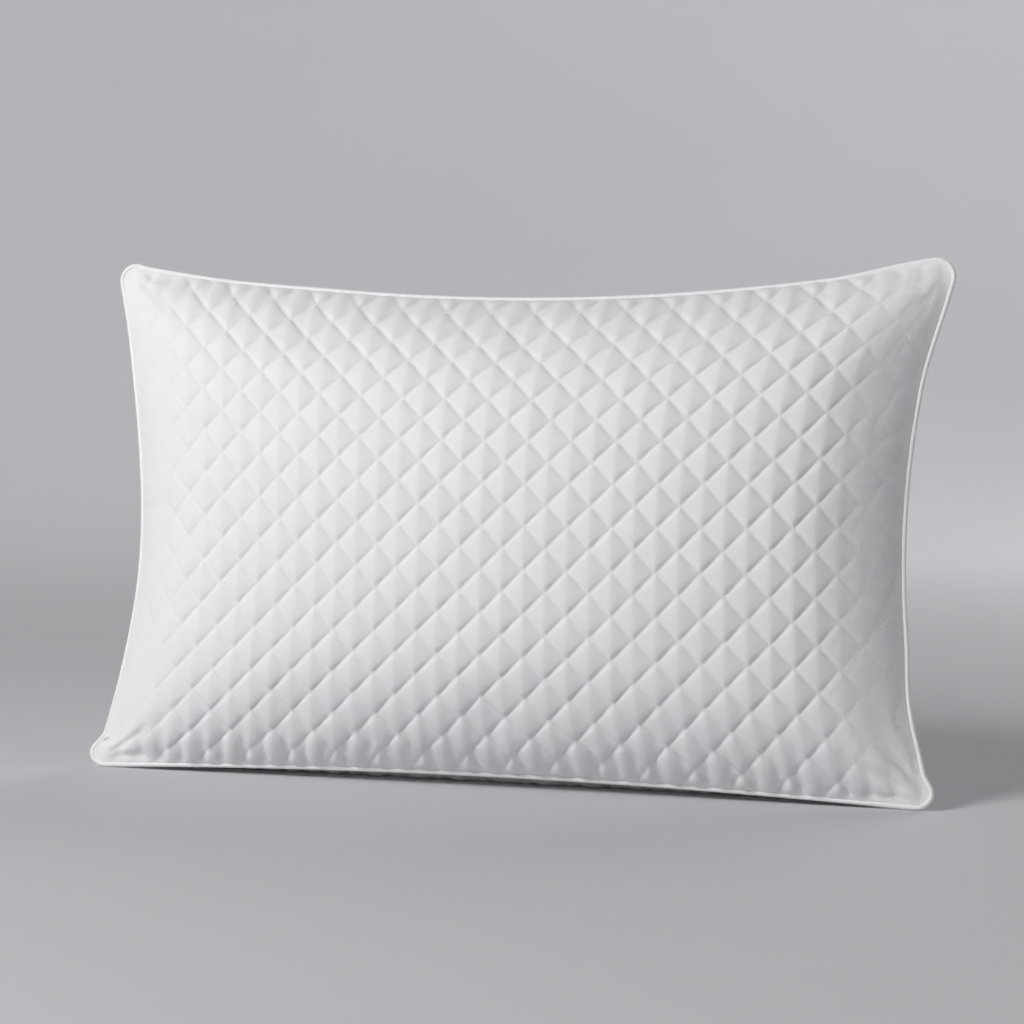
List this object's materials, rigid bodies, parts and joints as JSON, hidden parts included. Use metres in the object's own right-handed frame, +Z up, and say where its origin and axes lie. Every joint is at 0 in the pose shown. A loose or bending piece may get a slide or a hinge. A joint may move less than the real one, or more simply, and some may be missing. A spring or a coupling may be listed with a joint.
{
  "type": "bed_pillow",
  "caption": "Bed pillow with a white diamond-quilted knit cover, round piping in the seam and a fibre filling in its own liner, standing on its long edge",
  "frame": {"origin": "on the floor under the middle of the pillow's box", "axes": "+X along the long edge, +Y from the front face to the back face, +Z up"},
  "size_m": [0.7662, 0.1919, 0.4602],
  "materials": {
    "cover_fabric": "soft matte knit",
    "piping_fabric": "smooth woven strip",
    "wadding": "loose fibre sheet",
    "backing_scrim": "thin non-woven sheet",
    "liner_fabric": "plain weave",
    "filling": "crimped fibre",
    "cord": "twisted cotton",
    "thread": "smooth polyester thread"
  },
  "bodies": {
    "root": {"front_face_fabric": "cover_fabric", "front_wadding": "wadding", "front_backing": "backing_scrim", "back_face_fabric": "cover_fabric", "back_wadding": "wadding", "back_backing": "backing_scrim", "liner_front": "liner_fabric", "liner_back": "liner_fabric", "fibre_filling": "filling", "piping_cord": "cord", "piping_strip": "piping_fabric", "seam_overlock": "thread"}
  },
  "joints": []
}
